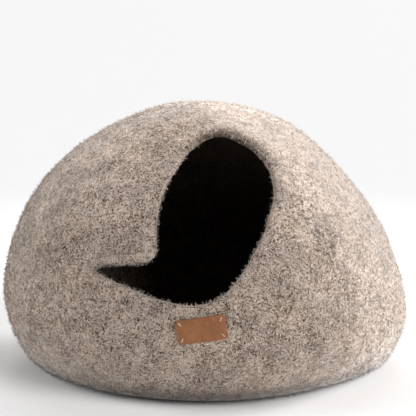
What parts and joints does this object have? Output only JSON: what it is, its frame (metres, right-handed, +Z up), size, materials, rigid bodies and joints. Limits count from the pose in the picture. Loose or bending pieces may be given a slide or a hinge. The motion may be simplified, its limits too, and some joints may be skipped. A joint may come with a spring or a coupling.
{
  "type": "felt cat cave",
  "caption": "Domed pet bed of seamless grey wool felt, with a leaning arched mouth that runs into a slit under a rounded flap, and a leather label below it",
  "frame": {"origin": "centre of the bounding box in plan, on the surface that the cave stands on", "axes": "+X to the right and +Y to the back, seen from the side with the mouth; +Z up"},
  "size_m": [0.4998, 0.4754, 0.3285],
  "materials": {
    "wool_felt": "mottled undyed grey-brown wool, fuzzy, matt",
    "brown_leather": "smooth tan leather, slight sheen"
  },
  "bodies": {
    "root": {"felt_shell": "wool_felt", "leather_label": "brown_leather"}
  },
  "joints": []
}
